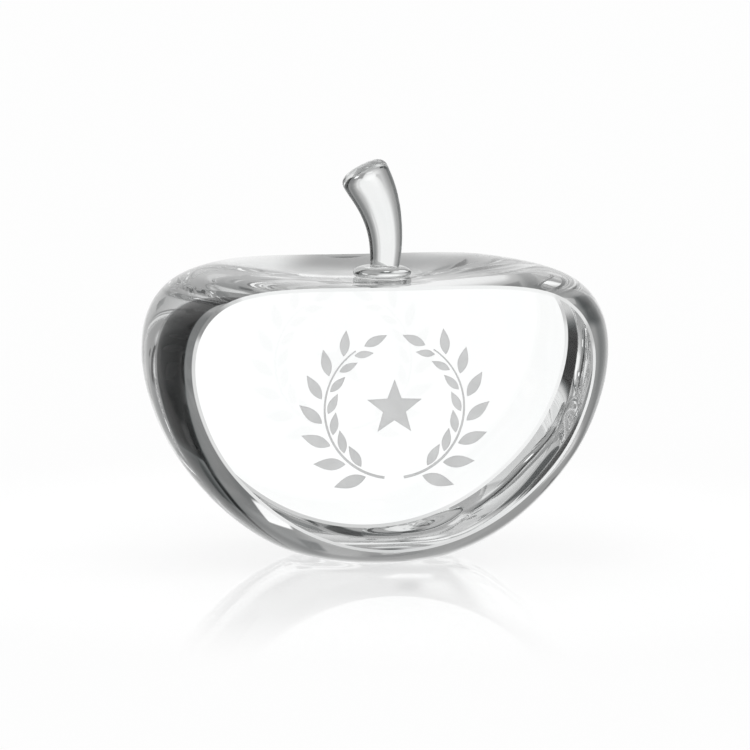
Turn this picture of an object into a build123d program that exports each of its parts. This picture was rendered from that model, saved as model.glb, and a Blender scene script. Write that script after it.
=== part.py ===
from build123d import *
from math import cos, radians, sin, tan
import os

os.makedirs("parts", exist_ok=True)

# A solid clear glass apple: a turned body cut by two parallel polished faces,
# with a bent glass stem that stands on a round glass collar in the dimple.
# The origin is at the middle of the ground base, +Z is up and the front face looks along -Y.
# All sizes are in millimetres, all angles in degrees.

# Body
body_width = 120.0  # diameter of the turned form at its widest ring
body_thickness = 60.5  # from one polished face to the other
widest_height = 53.6  # from the base to the widest ring
shoulder_rise = 20.0  # from the widest ring up to the highest ring of the top
base_flat_diameter = 31.0  # ground flat that the apple rests on
crown_diameter = 68.0  # diameter of the highest ring, where the dimple begins
dimple_depth = 1.5  # from the highest ring down to the ground seat
seat_margin = 0.2  # the ground seat reaches this far past the collar
face_bevel = 0.6  # narrow polished bevel round each face

# Collar
collar_diameter = 15.0
collar_edge_height = 1.7  # the rim is a full round of this height
collar_dome_slope = 36.0  # steepest slope of the domed top, where it meets the rim
landing_margin = 0.1  # the flat that carries the stem reaches this far past its foot
collar_offset = 1.8  # the collar sits a little to the right of the apple's axis

# Stem
stem_foot_diameter = 7.5
stem_tip_diameter = 12.8
stem_foot_shift = 0.65  # from the collar's middle to the middle of the stem's foot
stem_foot_lean = 4.0  # the foot leans to the right
stem_tip_lean = 28.0  # the tip leans to the left
stem_foot_run = 2.4  # straight length above the foot
stem_tip_run = 5.7  # straight length below the top of the tip
stem_bend_radius = 34.0
stem_tip_crown = 1.0  # rise of the tip's middle over its rim
stem_tip_round = 2.2  # softened rim of the tip

# Bonds
bond_thickness = 0.1  # clear adhesive film

# The flank from the base up to the widest ring: radius as a share of the way out from the
# base's edge, height as a share of the widest ring's height.
flank_shares = [
    (0.151, 0.030),
    (0.344, 0.108),
    (0.524, 0.220),
    (0.690, 0.363),
    (0.839, 0.537),
    (0.948, 0.746),
]
# The shoulder from the widest ring over to the crown: radius as a share of the way in,
# height as a share of the way up.
shoulder_shares = [
    (0.021, 0.285),
    (0.113, 0.590),
    (0.294, 0.831),
    (0.573, 0.960),
]
# The dimple from the crown in to the seat: shares of the way in and of the way down.
dimple_shares = [
    (0.40, 0.30),
    (0.72, 0.77),
]
# Places along the stem's path, each with the share of the flare from foot to tip there.
flare_shares = [
    (0.20, 0.17),
    (0.37, 0.33),
    (0.53, 0.54),
    (0.71, 0.79),
    (0.87, 0.96),
    (1.00, 1.00),
]

# Derived sizes
body_radius = body_width / 2
base_radius = base_flat_diameter / 2
crown_radius = crown_diameter / 2
body_height = widest_height + shoulder_rise
seat_height = body_height - dimple_depth
seat_radius = collar_diameter / 2 + collar_offset + seat_margin
collar_base_height = seat_height + bond_thickness
rim_radius = collar_edge_height / 2
collar_flat_radius = collar_diameter / 2 - rim_radius
landing_radius = stem_foot_diameter / 2 + stem_foot_shift + landing_margin
dome_edge_radius = collar_flat_radius + rim_radius * sin(radians(collar_dome_slope))
dome_edge_rise = rim_radius + rim_radius * cos(radians(collar_dome_slope))
dome_rise = (dome_edge_radius - landing_radius) * tan(radians(collar_dome_slope / 2))
landing_rise = dome_edge_rise + dome_rise
stem_base_height = collar_base_height + landing_rise + bond_thickness
stem_foot_x = collar_offset + stem_foot_shift
stem_tip_radius = stem_tip_diameter / 2
crown_sphere_radius = (stem_tip_radius**2 + stem_tip_crown**2) / (2 * stem_tip_crown)


# Turned body, cut by the two faces

with BuildPart() as apple_body:
    with BuildSketch(Plane.XZ) as body_section:
        with BuildLine() as body_outline:
            base_edge = (base_radius, 0)
            widest_point = (body_radius, widest_height)
            crown_point = (crown_radius, body_height)
            seat_edge = (seat_radius, seat_height)
            flank_width = body_radius - base_radius
            shoulder_width = body_radius - crown_radius
            dimple_width = crown_radius - seat_radius
            Line((0, 0), base_edge)
            flank_points = [
                (base_radius + out * flank_width, up * widest_height)
                for out, up in flank_shares
            ]
            Spline([base_edge, *flank_points, widest_point])
            shoulder_points = [
                (body_radius - inward * shoulder_width, widest_height + up * shoulder_rise)
                for inward, up in shoulder_shares
            ]
            Spline([widest_point, *shoulder_points, crown_point], tangents=[(0, 1), (-1, 0)])
            dimple_points = [
                (crown_radius - inward * dimple_width, body_height - down * dimple_depth)
                for inward, down in dimple_shares
            ]
            Spline([crown_point, *dimple_points, seat_edge], tangents=[(-1, 0), (-1, 0)])
            Line(seat_edge, (0, seat_height))
            Line((0, seat_height), (0, 0))
        make_face()
    revolve(axis=Axis.Z)
    split(bisect_by=Plane.XZ.offset(body_thickness / 2), keep=Keep.BOTTOM)
    split(bisect_by=Plane.XZ.offset(-body_thickness / 2), keep=Keep.TOP)
    polished_faces = faces().filter_by(Axis.Y)
    chamfer(polished_faces.edges(), length=face_bevel)

apple_body.part.label = "apple_body"
export_step(apple_body.part, "parts/apple_body.step")


# Round collar, bonded to the ground seat in the dimple

collar_plane = Plane(origin=(collar_offset, 0, collar_base_height), x_dir=(1, 0, 0), z_dir=(0, -1, 0))
collar_axis = Axis((collar_offset, 0, 0), (0, 0, 1))

with BuildPart() as stem_collar:
    with BuildSketch(collar_plane) as collar_section:
        with BuildLine() as collar_outline:
            rim_bottom = (collar_flat_radius, 0)
            rim_middle = (collar_flat_radius + rim_radius, rim_radius)
            dome_edge = (dome_edge_radius, dome_edge_rise)
            landing_edge = (landing_radius, landing_rise)
            Line((0, 0), rim_bottom)
            ThreePointArc(rim_bottom, rim_middle, dome_edge)
            TangentArc(landing_edge, dome_edge, tangent=(1, 0))
            Line(landing_edge, (0, landing_rise))
            Line((0, landing_rise), (0, 0))
        make_face()
    revolve(axis=collar_axis)

stem_collar.part.label = "stem_collar"
export_step(stem_collar.part, "parts/stem_collar.step")


# Bent stem, flaring from a flat foot to a low domed tip

with BuildLine(Plane.XZ) as stem_path:
    foot_angle = 90 - stem_foot_lean
    foot_run = PolarLine((stem_foot_x, stem_base_height), stem_foot_run, foot_angle)
    bend = JernArc(foot_run @ 1, foot_run % 1, stem_bend_radius, stem_foot_lean + stem_tip_lean)
    PolarLine(bend @ 1, stem_tip_run, 90 + stem_tip_lean)

stem_wire = stem_path.wire()

with BuildPart() as stem:
    foot_plane = Plane(origin=(stem_foot_x, 0, stem_base_height), x_dir=(0, -1, 0), z_dir=(0, 0, 1))
    with BuildSketch(foot_plane):
        Circle(stem_foot_diameter / 2)
    for place_share, flare_share in flare_shares:
        station = Plane(origin=stem_wire @ place_share, x_dir=(0, -1, 0), z_dir=stem_wire % place_share)
        with BuildSketch(station):
            flare = flare_share * (stem_tip_diameter - stem_foot_diameter)
            Circle((stem_foot_diameter + flare) / 2)
    loft()
    with Locations(stem_wire @ 1 - stem_wire % 1 * crown_sphere_radius):
        Sphere(crown_sphere_radius, mode=Mode.INTERSECT)
    crown = faces().sort_by(Axis.Z)[-1]
    fillet(crown.edges(), radius=stem_tip_round)

stem.part.label = "stem"
export_step(stem.part, "parts/stem.step")


# Clear adhesive films under the collar and under the stem's foot

with BuildPart() as collar_bond:
    with BuildSketch(Plane.XY.offset(seat_height)):
        with Locations((collar_offset, 0)):
            Circle(collar_flat_radius)
    extrude(amount=bond_thickness)

collar_bond.part.label = "collar_bond"
export_step(collar_bond.part, "parts/collar_bond.step")

with BuildPart() as stem_bond:
    with BuildSketch(Plane.XY.offset(stem_base_height - bond_thickness)):
        with Locations((stem_foot_x, 0)):
            Circle(stem_foot_diameter / 2)
    extrude(amount=bond_thickness)

stem_bond.part.label = "stem_bond"
export_step(stem_bond.part, "parts/stem_bond.step")
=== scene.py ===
import logging
import math
from dataclasses import dataclass
from enum import Enum
from typing import Callable

import bmesh
import bpy
import numpy as np
from mathutils import Matrix, Vector


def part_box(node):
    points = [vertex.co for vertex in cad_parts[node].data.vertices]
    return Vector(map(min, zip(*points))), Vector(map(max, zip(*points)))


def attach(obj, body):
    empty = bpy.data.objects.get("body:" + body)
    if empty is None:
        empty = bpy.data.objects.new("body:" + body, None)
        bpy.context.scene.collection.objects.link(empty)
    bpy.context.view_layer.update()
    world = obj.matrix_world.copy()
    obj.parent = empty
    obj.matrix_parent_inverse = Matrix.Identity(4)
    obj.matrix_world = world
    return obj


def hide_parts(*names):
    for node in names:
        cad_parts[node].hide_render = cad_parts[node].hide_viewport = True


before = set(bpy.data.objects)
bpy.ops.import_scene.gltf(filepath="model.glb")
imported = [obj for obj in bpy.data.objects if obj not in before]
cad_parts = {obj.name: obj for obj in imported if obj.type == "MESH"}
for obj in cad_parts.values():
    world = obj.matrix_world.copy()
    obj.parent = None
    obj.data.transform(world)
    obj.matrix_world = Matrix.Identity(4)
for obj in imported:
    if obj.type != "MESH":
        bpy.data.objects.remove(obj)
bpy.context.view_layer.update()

# A clear glass apple with two flat polished faces and a bent glass stem on a round collar.
# Lengths are in metres and angles in degrees, unless a name says otherwise.

logging.basicConfig(level=logging.INFO, format="%(message)s")
log = logging.getLogger("glass_apple")

MM = 0.001
HALF_TURN = 180.0
BODY = "root"

Point = tuple[float, float]
Range = tuple[float, float]
Stretch = tuple[float, float, float]
Colour = tuple[float, float, float]

WHITE: Colour = (1.0, 1.0, 1.0)
OPAQUE_WHITE = (*WHITE, 1.0)
EVEN: Stretch = (1.0, 1.0, 1.0)
SOFT_DETAIL = 2.0
FINE_DETAIL = 3.0
GLASS_REFRACTION = 1.517


class Slot(Enum):
    """The material slots of the record."""

    BODY_GLASS = "body_glass"
    STEM_GLASS = "stem_glass"
    CLEAR_ADHESIVE = "clear_adhesive"


# Shader maths


class Value:
    """A shader socket on which arithmetic is written as plain Python."""

    def __init__(self, graph: "Graph", socket: bpy.types.NodeSocket) -> None:
        """Wraps a socket.

        Args:
            graph: the node tree that the socket belongs to.
            socket: the output socket.
        """
        self.graph = graph
        self.socket = socket

    def calc(self, operation: str, *others: "Value | float") -> "Value":
        """Returns this value put through a Math operation with the others."""
        return self.graph.maths(operation, self, *others)

    def __add__(self, other: "Value | float") -> "Value":
        """Returns the sum."""
        return self.calc("ADD", other)

    def __sub__(self, other: "Value | float") -> "Value":
        """Returns the difference."""
        return self.calc("SUBTRACT", other)

    def __rsub__(self, other: float) -> "Value":
        """Returns a number less this value."""
        return self.graph.maths("SUBTRACT", other, self)

    def __mul__(self, other: "Value | float") -> "Value":
        """Returns the product."""
        return self.calc("MULTIPLY", other)

    __radd__ = __add__
    __rmul__ = __mul__

    def rises(self, start: float, end: float) -> "Value":
        """Returns 0 below start, 1 above end and a smooth step between them.

        Args:
            start: the value where the step begins.
            end: the value where the step is complete.

        Returns:
            The smooth step.
        """
        settings = {"interpolation_type": "SMOOTHSTEP"}
        sockets = {"Value": self, "From Min": start, "From Max": end}
        return self.graph.node("ShaderNodeMapRange", settings, sockets).out("Result")


class Made:
    """A node that was added to a graph."""

    def __init__(self, graph: "Graph", node: bpy.types.Node) -> None:
        """Keeps the node with its graph.

        Args:
            graph: the node tree.
            node: the new node.
        """
        self.graph = graph
        self.node = node

    def out(self, name: str | int = 0) -> Value:
        """Returns one of the node's outputs, by its name or number."""
        return Value(self.graph, self.node.outputs[name])


class Graph:
    """A node tree that grows by expressions."""

    def __init__(self, tree: bpy.types.NodeTree) -> None:
        """Starts with an empty tree.

        Args:
            tree: the node tree of a material or world.
        """
        self.tree = tree
        tree.nodes.clear()

    def node(self, kind: str, settings: dict | None = None, sockets: dict | None = None) -> Made:
        """Adds a node.

        Args:
            kind: the node's type.
            settings: its own settings, set first.
            sockets: values or links for its inputs, by name or number.

        Returns:
            The new node.
        """
        node = self.tree.nodes.new(kind)
        for name, value in (settings or {}).items():
            setattr(node, name, value)
        for name, value in (sockets or {}).items():
            if isinstance(value, Value):
                self.tree.links.new(value.socket, node.inputs[name])
            else:
                node.inputs[name].default_value = value
        return Made(self, node)

    def maths(self, operation: str, *values: "Value | float") -> Value:
        """Returns the result of a Math node on the values."""
        settings = {"operation": operation}
        return self.node("ShaderNodeMath", settings, dict(enumerate(values))).out()

    def blend(self, factor: "Value | float", low: "Value | Colour", high: "Value | Colour") -> Value:
        """Returns a mix of two colours.

        Args:
            factor: 0 for the low colour, 1 for the high one.
            low: the first colour.
            high: the second colour.

        Returns:
            The mixed colour.
        """
        made = self.node("ShaderNodeMix", {"data_type": "RGBA"})
        for socket, value in zip((made.node.inputs[0], *made.node.inputs[6:8]), (factor, low, high)):
            if isinstance(value, Value):
                self.tree.links.new(value.socket, socket)
            elif socket.type == "RGBA":
                socket.default_value = (*value, 1.0)
            else:
                socket.default_value = value
        return made.out(2)

    def mix_shaders(self, factor: "Value | float", low: Value, high: Value) -> Value:
        """Returns a mix of two shaders, low at 0 and high at 1."""
        return self.node("ShaderNodeMixShader", None, {0: factor, 1: low, 2: high}).out()

    def place(self) -> tuple[Value, Value, Value, Value]:
        """Reads the object's own coordinates.

        Returns:
            The place as a vector, and its x, y and z.
        """
        vector = self.node("ShaderNodeTexCoord").out("Object")
        parts = self.node("ShaderNodeSeparateXYZ", None, {0: vector})
        return vector, parts.out("X"), parts.out("Y"), parts.out("Z")

    def noise(
        self, vector: Value, size: float, stretch: Stretch = EVEN, detail: float = SOFT_DETAIL
    ) -> Value:
        """Returns smooth noise from 0 to 1.

        Args:
            vector: the place.
            size: the size of its features, in metres.
            stretch: how much finer it is along each axis.
            detail: the octaves.

        Returns:
            The noise.
        """
        scaled = self.node("ShaderNodeMapping", None, {"Vector": vector, "Scale": stretch}).out()
        sockets = {"Vector": scaled, "Scale": 1 / size, "Detail": detail}
        return self.node("ShaderNodeTexNoise", None, sockets).out("Fac")


# Finishes


class Finish:
    """A finish that one principled shader gives."""

    name: str

    def sockets(self, graph: Graph) -> dict[str, Value | float]:
        """Returns what goes into the shader's sockets, by name."""
        raise NotImplementedError

    def material(self) -> bpy.types.Material:
        """Makes the material.

        Returns:
            The finished material.
        """
        made = bpy.data.materials.new(self.name)
        made.use_nodes = True
        graph = Graph(made.node_tree)
        shader = graph.node("ShaderNodeBsdfPrincipled", None, self.sockets(graph)).out()
        graph.node("ShaderNodeOutputMaterial", None, {"Surface": shader})
        return made


@dataclass(frozen=True)
class Bond:
    """A bonded joint, where light crosses from glass to glass without bending."""

    node: str
    slack: float = 0.02 * MM

    def cover(self, x: Value, y: Value, z: Value) -> Value:
        """Returns 1 on the faces that the film joins and 0 elsewhere.

        Args:
            x: the place's x.
            y: the place's y.
            z: the place's z.

        Returns:
            The cover.
        """
        low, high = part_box(self.node)
        radius, half = (high.x - low.x) / 2, (high.z - low.z) / 2
        aside = x - (low.x + high.x) / 2
        away = (aside * aside + y * y).calc("SQRT")
        above = (z - (low.z + high.z) / 2).calc("ABSOLUTE")
        within = 1 - above.rises(half + self.slack, half + 2 * self.slack)
        return within * (1 - away.rises(radius - self.slack, radius))


@dataclass(frozen=True)
class PolishedGlass(Finish):
    """Clear glass with the faintest cords and tint, polished, and slightly worn where it stands."""

    name: str
    bonds: tuple[Bond, ...] = ()
    tint: Colour = (0.985, 0.993, 0.990)
    cord_tint: Colour = (0.965, 0.985, 0.982)
    cord_size: float = 9 * MM
    cord_stretch: Stretch = (1.0, 1.0, 0.35)
    cord_range: Range = (0.42, 0.72)
    scuff_size: float = 0.6 * MM
    scuff_stretch: Stretch = (1.0, 4.0, 1.0)
    scuff_range: Range = (0.5, 0.75)
    worn_height: float = 0.05 * MM
    worn_roughness: float = 0.06

    def sockets(self, graph: Graph) -> dict[str, Value | float]:
        """Works out the patterns of the finish.

        Args:
            graph: the material's node tree.

        Returns:
            What goes into the shader's sockets, by name.
        """
        vector, x, y, height = graph.place()
        cords = graph.noise(vector, self.cord_size, self.cord_stretch).rises(*self.cord_range)
        scuffs = graph.noise(vector, self.scuff_size, self.scuff_stretch, FINE_DETAIL)
        worn = (1 - height.rises(0.0, self.worn_height)) * scuffs.rises(*self.scuff_range)
        bare: Value | float = 1.0
        for bond in self.bonds:
            bare = (1 - bond.cover(x, y, height)) * bare
        return {
            "Base Color": graph.blend(cords, self.tint, self.cord_tint),
            "Roughness": worn * self.worn_roughness,
            "IOR": GLASS_REFRACTION,
            "Transmission Weight": 1.0,
            "Alpha": bare,
        }


@dataclass(frozen=True)
class FrostedGlass(Finish):
    """The dull, finely grained white of a sandblasted etching."""

    name: str
    colour: Colour = (0.60, 0.605, 0.605)
    pale_colour: Colour = (0.68, 0.685, 0.685)
    pale_range: Range = (0.35, 0.65)
    grain_size: float = 0.12 * MM
    grain_share: float = 0.4
    grain_depth: float = 0.01 * MM
    grain_strength: float = 0.5
    cloud_size: float = 6 * MM
    cloud_share: float = 0.6
    roughness: float = 0.5
    roughness_swing: float = 0.2
    clearness: float = 0.35

    def sockets(self, graph: Graph) -> dict[str, Value | float]:
        """Works out the patterns of the finish.

        Args:
            graph: the material's node tree.

        Returns:
            What goes into the shader's sockets, by name.
        """
        vector, _, _, _ = graph.place()
        grain = graph.noise(vector, self.grain_size)
        clouds = graph.noise(vector, self.cloud_size)
        pale = (grain * self.grain_share + clouds * self.cloud_share).rises(*self.pale_range)
        relief = {"Height": grain, "Distance": self.grain_depth, "Strength": self.grain_strength}
        return {
            "Base Color": graph.blend(pale, self.colour, self.pale_colour),
            "Roughness": grain * self.roughness_swing + self.roughness,
            "IOR": GLASS_REFRACTION,
            "Transmission Weight": self.clearness,
            "Normal": graph.node("ShaderNodeBump", None, relief).out(),
        }


@dataclass(frozen=True)
class Contact(Finish):
    """The hidden faces where glass meets cured adhesive, which light crosses unbent."""

    name: str
    tint: Colour = (0.97, 0.98, 0.98)
    haze_size: float = 1.5 * MM
    haze_range: Range = (0.45, 0.8)
    haze_most: float = 0.02
    roughness: float = 0.3

    def sockets(self, graph: Graph) -> dict[str, Value | float]:
        """Works out the patterns of the finish.

        Args:
            graph: the material's node tree.

        Returns:
            What goes into the shader's sockets, by name.
        """
        vector, _, _, _ = graph.place()
        haze = graph.noise(vector, self.haze_size).rises(*self.haze_range) * self.haze_most
        return {
            "Base Color": graph.blend(haze, self.tint, WHITE),
            "Alpha": haze,
            "Roughness": self.roughness,
        }


# Modelling

DRAWING_WELD = 0.002 * MM
FLAT_SLACK = 0.02 * MM
FLAT_NORMAL = 0.99


def smooth_outline(points: list[Point], steps: int, start: Point | None, end: Point | None) -> list[Point]:
    """Draws a smooth curve through a few points.

    Args:
        points: the points that the curve passes through.
        steps: how many steps each span between two of them gets.
        start: the direction at the first point, or None to leave it free.
        end: the direction at the last point, or None to leave it free.

    Returns:
        The points along the curve, both ends included.
    """
    place = np.array(points, float)
    span = np.linalg.norm(np.diff(place, axis=0), axis=1)
    count = len(place)
    weights = np.zeros((count, count))
    target = np.zeros((count, 2))
    for i in range(1, count - 1):
        before, after = 1 / span[i - 1], 1 / span[i]
        weights[i, i - 1 : i + 2] = before, 2 * (before + after), after
        target[i] = 3 * ((place[i] - place[i - 1]) * before**2 + (place[i + 1] - place[i]) * after**2)
    for row, other, direction in ((0, 1, start), (-1, -2, end)):
        if direction is None:
            weights[row, row], weights[row, other] = 2, 1
            target[row] = 3 * (place[max(row, other)] - place[min(row, other)]) / span[min(row, 0)]
        else:
            weights[row, row] = 1
            target[row] = direction
    slope = np.linalg.solve(weights, target)
    curve = []
    for i in range(count - 1):
        for t in np.arange(steps) / steps:
            rest = 1 - t
            point = place[i] * rest**2 * (1 + 2 * t) + place[i + 1] * t**2 * (3 - 2 * t)
            point = point + span[i] * (slope[i] * t * rest**2 - slope[i + 1] * t**2 * rest)
            curve.append((float(point[0]), float(point[1])))
    return curve + [points[-1]]


def arc(centre: Point, radius: float, start: float, end: float, steps: int) -> list[Point]:
    """Draws an arc.

    Args:
        centre: its centre.
        radius: its radius.
        start: the angle where it starts, in degrees from the first axis.
        end: the angle where it ends.
        steps: how many steps it gets.

    Returns:
        The points, both ends included.
    """
    angles = (math.radians(start + (end - start) * i / steps) for i in range(steps + 1))
    return [(centre[0] + radius * math.cos(a), centre[1] + radius * math.sin(a)) for a in angles]


def activate(piece: bpy.types.Object) -> None:
    """Selects a piece alone and makes it the active one.

    Args:
        piece: the piece.
    """
    bpy.ops.object.select_all(action="DESELECT")
    piece.select_set(True)
    bpy.context.view_layer.objects.active = piece


def edit(piece: bpy.types.Object) -> None:
    """Opens a piece in edit mode, alone and with all of it selected.

    Args:
        piece: the piece.
    """
    activate(piece)
    bpy.ops.object.mode_set(mode="EDIT")
    bpy.ops.mesh.select_mode(type="VERT")
    bpy.ops.mesh.select_all(action="SELECT")


def finish_edit() -> None:
    """Leaves edit mode."""
    bpy.ops.object.mode_set(mode="OBJECT")


def select_faces(piece: bpy.types.Object, wanted: Callable[[bmesh.types.BMFace], bool]) -> None:
    """Selects the faces of the open piece that pass a test.

    Args:
        piece: the piece that is in edit mode.
        wanted: the test.
    """
    bpy.ops.mesh.select_mode(type="FACE")
    bpy.ops.mesh.select_all(action="DESELECT")
    mesh = bmesh.from_edit_mesh(piece.data)
    for face in mesh.faces:
        if wanted(face):
            face.select = True
    mesh.select_flush_mode()
    bmesh.update_edit_mesh(piece.data)


def draw_outline(name: str, outline: list[Point], x: float, y: float) -> bpy.types.Object:
    """Draws an open outline in an upright plane by extruding one corner from point to point.

    Args:
        name: the piece's name.
        outline: its points, across and up.
        x: where the first of their axes starts.
        y: where the plane stands.

    Returns:
        The piece, left in edit mode with all of it selected.
    """
    bpy.ops.object.select_all(action="DESELECT")
    first = outline[0]
    bpy.ops.mesh.primitive_plane_add(size=MM, location=(x + first[0], y, first[1]))
    piece = bpy.context.object
    piece.name = name
    bpy.ops.object.transform_apply(location=True, rotation=True, scale=True)
    edit(piece)
    bpy.ops.mesh.merge(type="CENTER")
    for here, there in zip(outline, outline[1:]):
        step = (there[0] - here[0], 0, there[1] - here[1])
        bpy.ops.mesh.extrude_vertices_move(TRANSFORM_OT_translate={"value": step})
    bpy.ops.mesh.select_all(action="SELECT")
    return piece


def turn_outline(name: str, outline: list[Point], axis_x: float, steps: int) -> bpy.types.Object:
    """Draws an outline and spins it into a closed piece.

    Args:
        name: the piece's name.
        outline: (radius, height) points, from the axis round to the axis.
        axis_x: where the upright axis stands.
        steps: how many steps the full turn gets.

    Returns:
        The piece, left in edit mode with all of it selected.
    """
    piece = draw_outline(name, outline, axis_x, 0)
    bpy.ops.mesh.spin(steps=steps, angle=2 * math.pi, center=(axis_x, 0, 0), axis=(0, 0, 1))
    bpy.ops.mesh.select_all(action="SELECT")
    bpy.ops.mesh.remove_doubles(threshold=DRAWING_WELD)
    bpy.ops.mesh.normals_make_consistent(inside=False)
    return piece


def cut_plate(name: str, outline: list[Point], front: float, back: float) -> bpy.types.Object:
    """Draws an outline, fills it and gives it depth.

    Args:
        name: the piece's name.
        outline: (x, z) points round the plate.
        front: the y of its front.
        back: the y of its back.

    Returns:
        The plate.
    """
    piece = draw_outline(name, outline, 0, front)
    bpy.ops.mesh.edge_face_add()
    bpy.ops.mesh.extrude_region_move(TRANSFORM_OT_translate={"value": (0, back - front, 0)})
    bpy.ops.mesh.select_all(action="SELECT")
    bpy.ops.mesh.normals_make_consistent(inside=False)
    finish_edit()
    return piece


def copy_of(piece: bpy.types.Object, x: float, z: float, heading: float, size: float) -> bpy.types.Object:
    """Returns a copy with its own mesh, sized, turned and moved in the plane of the front face.

    Args:
        piece: the piece to copy.
        x: where the copy's own origin goes.
        z: the height of that place.
        heading: the turn in degrees, anticlockwise seen from the front.
        size: the copy's size as a share of the piece's.

    Returns:
        The copy.
    """
    activate(piece)
    bpy.ops.object.duplicate()
    copy = bpy.context.object
    copy.location = (x, 0, z)
    copy.rotation_euler = (0, -math.radians(heading), 0)
    copy.scale = (size, 1, size)
    bpy.ops.object.transform_apply(location=True, rotation=True, scale=True)
    return copy


def join(pieces: list[bpy.types.Object]) -> bpy.types.Object:
    """Joins pieces.

    Args:
        pieces: the pieces, of which the first takes in the others.

    Returns:
        The first piece.
    """
    bpy.ops.object.select_all(action="DESELECT")
    for piece in pieces:
        piece.select_set(True)
    bpy.context.view_layer.objects.active = pieces[0]
    bpy.ops.object.join()
    return pieces[0]


def add_modifier(piece: bpy.types.Object, kind: str, **settings: object) -> None:
    """Adds a modifier to a piece and applies it.

    Args:
        piece: the piece.
        kind: the modifier's type.
        settings: its settings, by name.
    """
    activate(piece)
    modifier = piece.modifiers.new(kind.lower(), kind)
    for name, value in settings.items():
        setattr(modifier, name, value)
    bpy.ops.object.modifier_apply(modifier=modifier.name)


def smooth_by_angle(piece: bpy.types.Object, angle: float) -> None:
    """Shades a piece smooth, with sharp edges where its faces meet at more than the angle."""
    activate(piece)
    bpy.ops.object.shade_smooth_by_angle(angle=math.radians(angle))


def is_upright_at(face: bmesh.types.BMFace, y: float) -> bool:
    """True if a face looks along the Y axis and every corner of it lies at one y."""
    level = all(abs(vert.co.y - y) < FLAT_SLACK for vert in face.verts)
    return level and abs(face.normal.y) > FLAT_NORMAL


def dress(piece: bpy.types.Object, *materials: bpy.types.Material) -> None:
    """Gives a piece its materials in place of any it has.

    Args:
        piece: the piece.
        materials: the materials, one for each of its slots.
    """
    piece.data.materials.clear()
    for material in materials:
        piece.data.materials.append(material)


def hand_over(piece: bpy.types.Object, slot: Slot, *nodes: str) -> None:
    """Sets a finished piece on the body in place of solids.

    Args:
        piece: the finished piece.
        slot: the record's slot of its finish; not used.
        nodes: the solids that it stands for.
    """
    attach(piece, BODY)
    if nodes:
        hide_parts(*nodes)
    log.info("%s: %d faces", piece.name, len(piece.data.polygons))


# The apple


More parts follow.
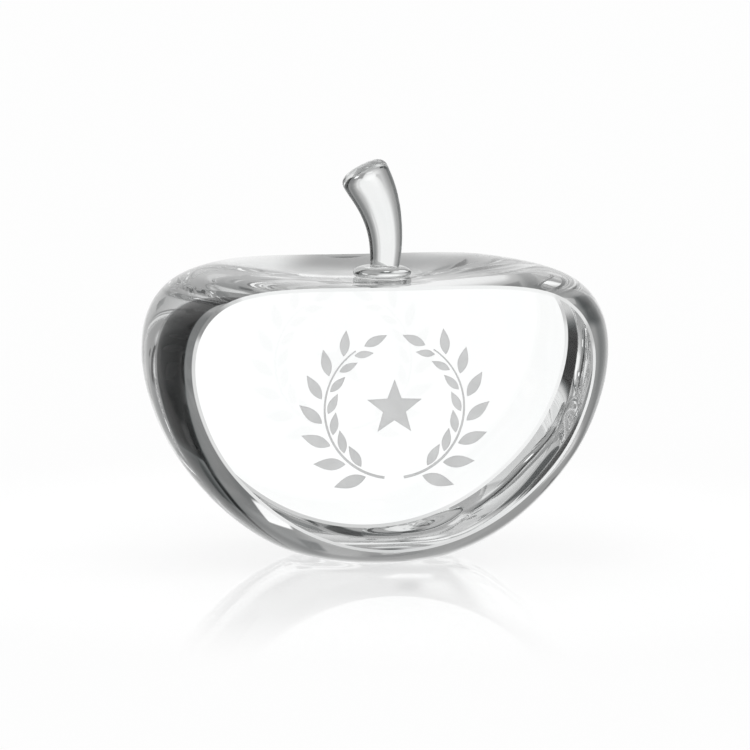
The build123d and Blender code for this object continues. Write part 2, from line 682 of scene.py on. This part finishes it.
@dataclass
class LaurelEtching:
    """Two laurel sprays round a star, sunk a little into the front face.

    Places are measured from the middle of the wreath. Angles run anticlockwise from the right.
    """

    middle_height: float = 42.5 * MM
    depth: float = 0.15 * MM
    overrun: float = 0.5 * MM
    spray_radius: float = 18 * MM
    spray_start: float = -74.0
    spray_end: float = 58.0
    twig_overhang: float = 8.0
    twig_shortfall: float = 2.0
    twig_width: float = 0.7 * MM
    twig_thinning: float = 0.5
    twig_steps: int = 40
    pairs: int = 7
    leaf_length: float = 8.6 * MM
    leaf_width: float = 3.2 * MM
    leaf_steps: int = 12
    leaf_bias: float = 0.85
    stalk_gap: float = 1.55 * MM
    outer_splay: float = 36.0
    outer_place: float = 0.15
    inner_splay: float = 34.0
    inner_place: float = 0.5
    inner_share: float = 0.74
    taper_share: float = 0.25
    end_leaf_splay: float = 6.0
    end_leaf_lead: float = 1.0
    star_points: int = 5
    star_radius: float = 7.4 * MM
    star_waist_share: float = 0.42

    def place(self, radius: float, angle: float) -> Point:
        """Returns the point at a radius and an angle from the wreath's middle."""
        turn = math.radians(angle)
        return radius * math.cos(turn), self.middle_height + radius * math.sin(turn)

    def leaf_outline(self) -> list[Point]:
        """Draws a leaf with its stalk at the origin, pointing to the right.

        Returns:
            The points round it, with a sharp point at both ends.
        """
        shares = [step / self.leaf_steps for step in range(self.leaf_steps + 1)]
        half = self.leaf_width / 2
        edge = [(t * self.leaf_length, half * math.sin(math.pi * t**self.leaf_bias)) for t in shares]
        return [(along, -out) for along, out in edge[:-1]] + edge[:0:-1]

    def twig_outline(self) -> list[Point]:
        """Draws the twig of the right spray, thinning upwards.

        Returns:
            The points round it.
        """
        start, end = self.spray_start - self.twig_overhang, self.spray_end - self.twig_shortfall
        outside, inside = [], []
        for step in range(self.twig_steps + 1):
            share = step / self.twig_steps
            angle = start + share * (end - start)
            half = self.twig_width / 2 * (1 - share * self.twig_thinning)
            outside.append(self.place(self.spray_radius + half, angle))
            inside.append(self.place(self.spray_radius - half, angle))
        return outside + inside[::-1]

    def star_outline(self) -> list[Point]:
        """Draws the star.

        Returns:
            The points round it, from the top one.
        """
        radii = (self.star_radius, self.star_radius * self.star_waist_share)
        step = HALF_TURN / self.star_points
        return [self.place(radii[i % 2], 90 + step * i) for i in range(2 * self.star_points)]

    def leaf_at(self, leaf: bpy.types.Object, angle: float, splay: float, size: float) -> bpy.types.Object:
        """Returns a copy of the leaf beside the right spray's twig.

        Args:
            leaf: the leaf to copy.
            angle: how far round the wreath its stalk stands.
            splay: its turn away from the twig, positive towards the wreath's middle.
            size: its size as a share of the leaf's.

        Returns:
            The copy.
        """
        x, z = self.place(self.spray_radius, angle)
        heading = angle + 90 + splay
        turn = math.radians(heading)
        aside, above = self.stalk_gap * math.cos(turn), self.stalk_gap * math.sin(turn)
        return copy_of(leaf, x + aside, z + above, heading, size)

    def cutter(self, face_y: float, frosted: bpy.types.Material) -> bpy.types.Object:
        """Returns the plates that cut the etching, joined.

        Args:
            face_y: the y of the front face.
            frosted: the finish that they leave.

        Returns:
            The cutter.
        """
        front, back = face_y - self.overrun, face_y + self.depth
        leaf = cut_plate("etching", self.leaf_outline(), front, back)
        twig = cut_plate("twig", self.twig_outline(), front, back)
        span = self.spray_end - self.spray_start
        leaves = []
        for count in range(self.pairs):
            size = 1 - self.taper_share * count / self.pairs
            outer = self.spray_start + span * (count + self.outer_place) / self.pairs
            inner = self.spray_start + span * (count + self.inner_place) / self.pairs
            leaves.append(self.leaf_at(leaf, outer, -self.outer_splay, size))
            leaves.append(self.leaf_at(leaf, inner, self.inner_splay, size * self.inner_share))
        end_leaf = self.spray_end + self.end_leaf_lead
        leaves.append(self.leaf_at(leaf, end_leaf, self.end_leaf_splay, 1 - self.taper_share))
        bpy.data.objects.remove(leaf)
        spray = join([twig, *leaves])
        add_modifier(spray, "MIRROR", use_axis=(True, False, False), use_mirror_merge=False)
        cutter = join([spray, cut_plate("star", self.star_outline(), front, back)])
        edit(cutter)
        bpy.ops.mesh.normals_make_consistent(inside=False)
        finish_edit()
        dress(cutter, frosted)
        return cutter

    def cut(self, body: bpy.types.Object, face_y: float, frosted: bpy.types.Material) -> None:
        """Cuts the etching into the body.

        Args:
            body: the body, with its polished glass on.
            face_y: the y of its front face.
            frosted: the finish of the etching.
        """
        cutter = self.cutter(face_y, frosted)
        settings = {"operation": "DIFFERENCE", "solver": "MANIFOLD", "material_mode": "TRANSFER"}
        add_modifier(body, "BOOLEAN", object=cutter, **settings)
        bpy.data.objects.remove(cutter)
        self.refill(body, face_y)

    def refill(self, body: bpy.types.Object, face_y: float) -> None:
        """Fills the front face again round the cuts, with clean triangles.

        Args:
            body: the body.
            face_y: the y of its front face.
        """
        edit(body)
        select_faces(body, lambda face: is_upright_at(face, face_y))
        bpy.ops.mesh.delete(type="FACE")
        bpy.ops.mesh.select_mode(type="EDGE")
        bpy.ops.mesh.select_non_manifold(use_wire=False, use_multi_face=False, use_verts=False)
        bpy.ops.mesh.fill(use_beauty=True)
        bpy.ops.mesh.select_all(action="SELECT")
        bpy.ops.mesh.normals_make_consistent(inside=False)
        finish_edit()


@dataclass
class AppleBody:
    """The turned glass body, cut by two polished faces with a narrow bevel."""

    widest_height: float = 53.6 * MM
    base_radius: float = 15.5 * MM
    crown_radius: float = 34 * MM
    dimple_depth: float = 1.5 * MM
    seat_radius: float = 9.5 * MM
    bevel_depth: float = 0.55 * MM
    bevel_width: float = 0.82 * MM
    cut_slack: float = 0.001 * MM
    weld: float = 0.012 * MM
    turn_steps: int = 360
    span_steps: int = 12
    smooth_angle: float = 18.0

    # The outline as shares of the way, from the base's edge up, over the shoulder and into the dimple.
    flank_shares = (
        (0.151, 0.030), (0.344, 0.108), (0.524, 0.220), (0.690, 0.363), (0.839, 0.537), (0.948, 0.746)
    )
    shoulder_shares = ((0.021, 0.285), (0.113, 0.590), (0.294, 0.831), (0.573, 0.960))
    dimple_shares = ((0.40, 0.30), (0.72, 0.77))

    def __post_init__(self) -> None:
        """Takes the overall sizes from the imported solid."""
        low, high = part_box("apple_body")
        self.radius = min(-low.x, high.x)
        self.face_y = min(-low.y, high.y)
        self.height = high.z

    def outline(self) -> list[Point]:
        """Draws the turned outline.

        Returns:
            The points, from the axis at the base round to the axis at the seat.
        """
        rise = self.height - self.widest_height
        seat_height = self.height - self.dimple_depth
        base_edge, widest = (self.base_radius, 0.0), (self.radius, self.widest_height)
        crown, seat_edge = (self.crown_radius, self.height), (self.seat_radius, seat_height)
        flank = [
            (self.base_radius + out * (self.radius - self.base_radius), up * self.widest_height)
            for out, up in self.flank_shares
        ]
        shoulder = [
            (self.radius - inward * (self.radius - self.crown_radius), self.widest_height + up * rise)
            for inward, up in self.shoulder_shares
        ]
        hollow = self.crown_radius - self.seat_radius
        dimple = [
            (self.crown_radius - inward * hollow, self.height - down * self.dimple_depth)
            for inward, down in self.dimple_shares
        ]
        steps = self.span_steps
        curve = smooth_outline([base_edge, *flank, widest], steps, None, (0, 1))
        curve += smooth_outline([widest, *shoulder, crown], steps, (0, 1), (-1, 0))[1:]
        curve += smooth_outline([crown, *dimple, seat_edge], steps, (-1, 0), (-1, 0))[1:]
        return [(0.0, 0.0), *curve, (0.0, seat_height)]

    def build(self) -> bpy.types.Object:
        """Turns the body, cuts both faces and bevels them.

        Returns:
            The mesh.
        """
        piece = turn_outline("glass_apple_body", self.outline(), 0.0, self.turn_steps)
        for side in (-1, 1):
            cut_y = side * (self.face_y - self.bevel_depth)
            bpy.ops.mesh.select_all(action="SELECT")
            bpy.ops.mesh.bisect(
                plane_co=(0, cut_y, 0),
                plane_no=(0, side, 0),
                use_fill=True,
                clear_outer=True,
                threshold=self.cut_slack,
            )
            bpy.ops.mesh.select_all(action="SELECT")
            bpy.ops.mesh.remove_doubles(threshold=self.weld)
            select_faces(piece, lambda face: is_upright_at(face, cut_y))
            bpy.ops.mesh.inset(thickness=self.bevel_width, use_even_offset=False)
            bpy.ops.transform.translate(value=(0, side * self.bevel_depth, 0))
            bpy.ops.mesh.select_mode(type="VERT")
        bpy.ops.mesh.select_all(action="SELECT")
        bpy.ops.mesh.normals_make_consistent(inside=False)
        finish_edit()
        return piece

    def flatten(self, piece: bpy.types.Object) -> None:
        """Shades both polished faces flat, as true planes.

        Args:
            piece: the body.
        """
        edit(piece)
        select_faces(piece, lambda face: any(is_upright_at(face, y) for y in (-self.face_y, self.face_y)))
        bpy.ops.mesh.faces_shade_flat()
        finish_edit()

    def make(self, glass: bpy.types.Material, frosted: bpy.types.Material) -> None:
        """Builds, dresses and hands over the body.

        Args:
            glass: the polished glass.
            frosted: the finish of the etching.
        """
        piece = self.build()
        dress(piece, glass)
        LaurelEtching().cut(piece, -self.face_y, frosted)
        smooth_by_angle(piece, self.smooth_angle)
        self.flatten(piece)
        hand_over(piece, Slot.BODY_GLASS, "apple_body")


@dataclass
class Collar:
    """The round-edged collar in the dimple."""

    edge_height: float = 1.7 * MM
    dome_slope: float = 36.0
    landing_radius: float = 4.5 * MM
    turn_steps: int = 160
    rim_steps: int = 22
    dome_steps: int = 14
    smooth_angle: float = 30.0

    def __post_init__(self) -> None:
        """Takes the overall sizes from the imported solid."""
        low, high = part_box("stem_collar")
        self.axis_x = (low.x + high.x) / 2
        self.radius = (high.x - low.x) / 2
        self.bottom = low.z
        self.top = high.z

    def outline(self) -> list[Point]:
        """Draws the turned outline: flat base, full round rim, low dome and flat landing.

        Returns:
            The points, from the axis at the base round to the axis at the top.
        """
        rim = self.edge_height / 2
        flat = self.radius - rim
        edge = 90 - self.dome_slope
        points = [(0.0, self.bottom)]
        points += arc((flat, self.bottom + rim), rim, -90, edge, self.rim_steps)
        run = points[-1][0] - self.landing_radius
        dome = run / math.sin(math.radians(self.dome_slope))
        points += arc((self.landing_radius, self.top - dome), dome, edge, 90, self.dome_steps)[1:]
        return points + [(0.0, self.top)]

    def make(self, glass: bpy.types.Material) -> None:
        """Builds, dresses and hands over the collar.

        Args:
            glass: the polished glass.
        """
        piece = turn_outline("glass_collar", self.outline(), self.axis_x, self.turn_steps)
        finish_edit()
        smooth_by_angle(piece, self.smooth_angle)
        dress(piece, glass)
        hand_over(piece, Slot.STEM_GLASS, "stem_collar")


@dataclass
class Stem:
    """The bent, flaring glass rod with its softened, slightly domed tip."""

    foot_radius: float = 3.75 * MM
    tip_radius: float = 6.4 * MM
    foot_x: float = 2.45 * MM
    foot_lean: float = 4.0
    tip_lean: float = 28.0
    foot_run: float = 2.4 * MM
    tip_run: float = 5.68 * MM
    bend_radius: float = 34 * MM
    crown_rise: float = 1.0 * MM
    tip_round: float = 2.2 * MM
    edge_place: float = 0.9
    least_radius: float = 0.01 * MM
    sides: int = 128
    side_steps: int = 9
    round_steps: int = 12
    cap_steps: int = 8
    smooth_angle: float = 40.0

    # Places along the path and the share of the flare reached there.
    flare_shares = (
        (0.0, 0.0), (0.20, 0.17), (0.37, 0.33), (0.53, 0.54), (0.71, 0.79), (0.87, 0.96), (1.0, 1.0)
    )

    def __post_init__(self) -> None:
        """Takes the foot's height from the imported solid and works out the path."""
        self.foot_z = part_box("stem")[0].z
        self.bend_length = self.bend_radius * math.radians(self.foot_lean + self.tip_lean)
        self.length = self.foot_run + self.bend_length + self.tip_run

    def centre(self, along: float) -> tuple[Vector, float]:
        """Finds the path's point and lean at a distance along it.

        Args:
            along: the distance from the foot.

        Returns:
            The point, and the angle between the path and the upright, positive to the right.
        """
        lean = math.radians(self.foot_lean)
        point = Vector((self.foot_x, 0, self.foot_z))
        run = min(along, self.foot_run)
        point += Vector((math.sin(lean), 0, math.cos(lean))) * run
        turned = min(max(along - self.foot_run, 0.0), self.bend_length) / self.bend_radius
        point.x += self.bend_radius * (math.cos(lean - turned) - math.cos(lean))
        point.z += self.bend_radius * (math.sin(lean) - math.sin(lean - turned))
        lean -= turned
        rest = max(along - self.foot_run - self.bend_length, 0.0)
        point += Vector((math.sin(lean), 0, math.cos(lean))) * rest
        return point, lean

    def rings(self) -> list[tuple[float, float]]:
        """Sizes the rings, foot to tip.

        Returns:
            Each ring's distance along the path and its radius.
        """
        grow = self.tip_radius - self.foot_radius
        knots = [(at * self.length, self.foot_radius + share * grow) for at, share in self.flare_shares]
        side = smooth_outline(knots, self.side_steps, None, None)
        crown = (self.tip_radius**2 + self.crown_rise**2) / (2 * self.crown_rise)
        flare = np.interp(self.edge_place, *zip(*self.flare_shares))
        edge = flare * grow + self.foot_radius - self.tip_round
        drop = math.sqrt((crown - self.tip_round) ** 2 - edge**2)
        round_at = self.length - crown + drop
        turn = math.degrees(math.atan2(drop, edge))
        rounded = arc((edge, round_at), self.tip_round, 0, turn, self.round_steps)
        cap = arc((0, self.length - crown), crown, turn, 90, self.cap_steps)[1:]
        side = [ring for ring in side if ring[0] < round_at]
        return side + [(up, out) for out, up in rounded + cap]

    def build(self) -> bpy.types.Object:
        """Extrudes a foot circle ring by ring along the path.

        Returns:
            The mesh.
        """
        rings = self.rings()
        bpy.ops.object.select_all(action="DESELECT")
        foot = (self.foot_x, 0, self.foot_z)
        bpy.ops.mesh.primitive_circle_add(
            vertices=self.sides, radius=self.foot_radius, fill_type="NGON", location=foot
        )
        piece = bpy.context.object
        piece.name = "glass_stem"
        bpy.ops.object.transform_apply(location=True, rotation=True, scale=True)
        edit(piece)
        here, lean, radius = Vector(foot), 0.0, self.foot_radius
        for along, ring_radius in rings[1:]:
            there, new_lean = self.centre(along)
            new_radius = max(ring_radius, self.least_radius)
            bpy.ops.mesh.extrude_region_move(TRANSFORM_OT_translate={"value": there - here})
            self._turn(there, new_lean - lean)
            size = new_radius / radius
            bpy.ops.transform.resize(value=(size, size, size), center_override=there)
            here, lean, radius = there, new_lean, new_radius
        bpy.ops.mesh.merge(type="CENTER")
        bpy.ops.mesh.select_all(action="SELECT")
        bpy.ops.mesh.normals_make_consistent(inside=False)
        finish_edit()
        smooth_by_angle(piece, self.smooth_angle)
        return piece

    @staticmethod
    def _turn(centre: Vector, angle: float) -> None:
        """Turns the selection about Y through a point, in radians, clockwise from the front."""
        if angle:
            bpy.ops.transform.rotate(value=-angle, orient_axis="Y", center_override=centre)

    def make(self, glass: bpy.types.Material) -> None:
        """Builds, dresses and hands over the stem.

        Args:
            glass: the polished glass.
        """
        piece = self.build()
        dress(piece, glass)
        hand_over(piece, Slot.STEM_GLASS, "stem")


# The studio


@dataclass
class Camera:
    """The camera at the photograph's angle."""

    azimuth: float = 9.729
    elevation: float = 8.894
    roll: float = 0.301
    distance: float = 3.0
    target: tuple[float, float, float] = (0.112 * MM, 0.0, 46.37 * MM)
    focal_pixels: float = 11681.8
    image_pixels: float = 750.0
    sensor_mm: float = 36.0
    reach: float = 50.0

    def make(self) -> None:
        """Adds the camera and makes it the scene's."""
        turn, lift, roll = (math.radians(a) for a in (self.azimuth, self.elevation, self.roll))
        ahead = Vector((math.sin(turn) * math.cos(lift), math.cos(turn) * math.cos(lift), -math.sin(lift)))
        level = Vector((math.cos(turn), -math.sin(turn), 0))
        upright = level.cross(ahead)
        right = level * math.cos(roll) + upright * math.sin(roll)
        up = upright * math.cos(roll) - level * math.sin(roll)
        bpy.ops.object.camera_add()
        camera = bpy.context.object
        camera.name = "camera"
        place = Matrix.Translation(Vector(self.target) - ahead * self.distance)
        camera.matrix_world = place @ Matrix((right, up, -ahead)).transposed().to_4x4()
        camera.data.sensor_width = self.sensor_mm
        camera.data.lens = self.focal_pixels / self.image_pixels * self.sensor_mm
        camera.data.clip_end = self.reach
        bpy.context.scene.camera = camera


@dataclass(frozen=True)
class Card:
    """A card or lamp front of the studio, as the glass sees it by direction.

    The azimuth is from straight behind the apple round to its right, and the elevation is above the
    horizon. Half sizes and the softness of the edges are in degrees too.
    """

    name: str
    azimuth: float
    half_width: float
    elevation: float
    half_height: float
    softness: float
    level: float

    def cover(self, azimuth: Value, elevation: Value) -> Value:
        """Returns 1 on the card and 0 off it.

        Args:
            azimuth: where the ray goes, in degrees.
            elevation: how high it goes, in degrees.

        Returns:
            The card's cover.
        """
        aside = (azimuth - self.azimuth).calc("WRAP", -HALF_TURN, HALF_TURN).calc("ABSOLUTE")
        above = (elevation - self.elevation).calc("ABSOLUTE")
        soft = self.softness
        within = 1 - aside.rises(self.half_width - soft, self.half_width + soft)
        return within * (1 - above.rises(self.half_height - soft, self.half_height + soft))


@dataclass
class Studio:
    """A pale floor and plain soft studio light."""

    floor_radius: float = 4.0
    floor_sides: int = 96
    floor_gap: float = 0.05 * MM
    floor_colour: Colour = (0.96, 0.96, 0.96)
    floor_whiteness: float = 0.7
    floor_shine: float = 0.42
    shine_start: float = 30 * MM
    shine_end: float = 170 * MM
    # painted light: how much the floor's white glow is raised where it shines
    painted_glow_lift: float = 0.72
    shine_roughness: float = 0.03
    room_level: float = 0.33
    neutral_level: float = 0.3
    shade_colour: Colour = (0.90, 0.985, 1.0)
    light_bounces: int = 24

    cards = (
        Card("front_wall", 158, 38, -6, 22, 9, 0.62),
        Card("front_table", 150, 14, -32, 16, 5, 0.9),
        Card("camera_panel", 170, 6, -9, 4, 1.5, 1.2),
        Card("right_wall", 106, 34, 12, 54, 6, 0.24),
        Card("left_wall", -95, 35, -35, 52, 1, 0.6),
        Card("back_left_wall", -60, 22, -4, 28, 3, 0.19),
        Card("back_right_wall", 48, 15, 4, 42, 4, 0.2),
        Card("right_flag", 65, 13, -26, 40, 0.5, 0.0),
        Card("right_flag_top", 68, 12, 30, 17, 3, 0.05),
        Card("right_post", 53, 1.5, 28, 17, 0.7, 0.0),
        Card("low_left_flag", -50, 18, -43, 15, 4, 0.06),
        Card("high_left_flag", -64, 10, 31, 12, 2, 0.0),
        Card("right_slot", 112, 10, 6, 8, 3, 0.02),
        Card("left_slot", -115, 16, 2, 10, 6, 0.0),
        Card("left_lamp", -107, 10, -20, 5, 2, 0.8),
        Card("backdrop", 5, 20, -9, 20, 18, 1.04),
        Card("backdrop_core", 4, 20, 0, 7, 4, 0.93),
        Card("low_right_shade", 27, 7, -23, 10, 2.5, 0.28),
        Card("low_right_lamp", 38, 5, -24, 4, 1.5, 1.2),
        Card("back_table", -9, 16, -50, 8, 3, 0.85),
        Card("low_back_flag", -23, 7, -35, 3.5, 1, 0.06),
        Card("corner_lamp", 38, 3.5, 22.5, 3, 0.5, 1.1),
        Card("front_high_flag", 152, 12, 36, 9, 2, 0.02),
        Card("front_lamp", -153, 6, 43, 5, 2, 0.45),
        Card("front_high_gap", -166, 5, 48, 6, 2, 0.03),
        Card("left_ceiling", -68, 58, 67, 22, 5, 0.8),
        Card("front_ceiling", -150, 90, 78, 15, 9, 0.7),
        Card("back_lamp", 2, 5, 54, 4, 4, 0.6),
        Card("back_gap", 11, 3, 52, 3, 2.5, 0.08),
        Card("right_lamp", 113, 21, 40, 7, 4.5, 0.8),
        Card("right_floor", 116, 10, -72, 36, 22, 1.1),
        Card("front_floor", -158, 19, -60, 17, 17, 1.3),
        Card("front_high_strip", -165, 15, 57, 3.5, 1, 0.05),
        Card("back_table_gap", 15, 6, -46, 3, 1, 0.1),
        Card("low_back_lamp", 15, 3, -51, 2.5, 0.8, 1.2),
        Card("low_table_lamp", -10, 9, -57, 3, 1, 1.2),
        Card("front_left_lamp", -150, 5, 16, 7, 1.5, 0.8),
        Card("back_left_gap", -15, 3, 9, 3, 1, 0.1),
        Card("right_low_gap", 99, 3, -39, 9, 1.5, 0.05),
        Card("front_low_gap", 141, 3, -57, 3, 1, 0.05),
        Card("front_right_gap", 135, 4, 19, 5, 1.5, 0.05),
        Card("front_spot", 168.5, 2, -52, 1, 0.5, 0.05),
        Card("high_left_gap", -38, 3, 29, 2.5, 0.8, 0.0),
        Card("back_right_gap", 33, 3, 33, 3, 1, 0.1),
        Card("side_lamp", 129, 3, -6, 8, 2, 0.8),
        Card("side_high_lamp", 123, 3, 9, 3, 1.5, 0.7),
        Card("front_high_band", 173, 11, 42, 6, 1, 0.08),
        Card("high_left_band", -73, 9, 44, 4, 1, 0.03),
        Card("back_left_shade", -10, 5, -15, 3, 1.5, 0.6),
        Card("back_table_edge", 10, 6, -27, 2, 1, 0.95),
        Card("mid_right_glow", 48, 3.5, 9, 12, 2, 0.25),
        Card("back_ceiling_lamp", 12, 8, 62, 3, 2.5, 0.8),
        Card("backdrop_edge", 25.5, 3, -4, 11, 1.5, 0.75),
    )

    def make(self) -> None:
        """Sets the floor, the surroundings and the light paths."""
        self._floor()
        self._surroundings()
        scene = bpy.context.scene
        scene.view_settings.view_transform = "Standard"
        scene.cycles.max_bounces = self.light_bounces
        scene.cycles.transmission_bounces = self.light_bounces
        scene.cycles.glossy_bounces = self.light_bounces
        scene.cycles.transparent_max_bounces = self.light_bounces
        scene.cycles.blur_glossy = 0.0

    @staticmethod
    def _seen_by_glass(graph: Graph) -> Value:
        """Returns 1 for a ray that a shiny or clear surface sends out."""
        path = graph.node("ShaderNodeLightPath")
        return path.out("Is Glossy Ray").calc("MAXIMUM", path.out("Is Transmission Ray"))

    def _floor(self) -> None:
        """Adds the floor: matt under a faint gloss round the apple, and white to the camera, its white
        glow raised round the apple as painted light that offsets the gloss.
        """
        bpy.ops.object.select_all(action="DESELECT")
        middle = (0, 0, -self.floor_gap)
        bpy.ops.mesh.primitive_circle_add(
            vertices=self.floor_sides, radius=self.floor_radius, fill_type="NGON", location=middle
        )
        floor = bpy.context.object
        floor.name = "studio_floor"
        made = bpy.data.materials.new("pale_floor")
        made.use_nodes = True
        graph = Graph(made.node_tree)
        camera = graph.node("ShaderNodeLightPath").out("Is Camera Ray")
        matt = graph.node("ShaderNodeBsdfDiffuse", None, {"Color": (*self.floor_colour, 1.0)}).out()
        _, x, y, _ = graph.place()
        away = (x * x + y * y).calc("SQRT")
        shine = (1 - away.rises(self.shine_start, self.shine_end)) * self.floor_shine
        # painted light: the white glow is raised round the apple, where the gloss would grey the floor
        lift = shine * self.painted_glow_lift + 1
        white = graph.node("ShaderNodeEmission", None, {"Color": OPAQUE_WHITE, "Strength": lift}).out()
        sockets = {"Color": OPAQUE_WHITE, "Roughness": self.shine_roughness}
        gloss = graph.node("ShaderNodeBsdfGlossy", None, sockets).out()
        clear = graph.node("ShaderNodeBsdfTransparent", None, {"Color": OPAQUE_WHITE}).out()
        surface = graph.mix_shaders(camera * self.floor_whiteness, matt, white)
        surface = graph.mix_shaders(shine, surface, gloss)
        surface = graph.mix_shaders(self._seen_by_glass(graph), surface, clear)
        graph.node("ShaderNodeOutputMaterial", None, {"Surface": surface})
        dress(floor, made)

    def _surroundings(self) -> None:
        """Lights the scene from its surroundings, with the cards that the glass shows."""
        world = bpy.data.worlds.new("studio")
        world.use_nodes = True
        bpy.context.scene.world = world
        graph = Graph(world.node_tree)
        vector = graph.node("ShaderNodeTexCoord").out("Generated")
        parts = graph.node("ShaderNodeSeparateXYZ", None, {0: vector})
        azimuth = graph.maths("ARCTAN2", parts.out("X"), parts.out("Y")).calc("DEGREES")
        elevation = parts.out("Z").calc("ARCSINE").calc("DEGREES")
        level: Value | float = self.room_level
        for card in self.cards:
            cover = card.cover(azimuth, elevation)
            level = (1 - cover) * level + cover * card.level
        through = self._seen_by_glass(graph)
        shade = level * through + (1 - through)
        colour = graph.blend(shade.rises(0.0, self.neutral_level), self.shade_colour, WHITE)
        glow = graph.node("ShaderNodeBackground", None, {"Color": colour, "Strength": shade}).out()
        graph.node("ShaderNodeOutputWorld", None, {"Surface": glow})


def main() -> None:
    """Builds the apple, its stem and the studio."""
    collar_bond, stem_bond = Bond("collar_bond"), Bond("stem_bond")
    glass = PolishedGlass("polished_glass", (collar_bond,)).material()
    stem_glass = PolishedGlass("stem_glass", (collar_bond, stem_bond), cord_size=4 * MM).material()
    AppleBody().make(glass, FrostedGlass("frosted_glass").material())
    Collar().make(stem_glass)
    Stem().make(stem_glass)
    contact = Contact("clear_bond").material()
    for node in ("collar_bond", "stem_bond"):
        dress(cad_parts[node], contact)
    Camera().make()
    Studio().make()


if __name__ == "__main__":
    main()
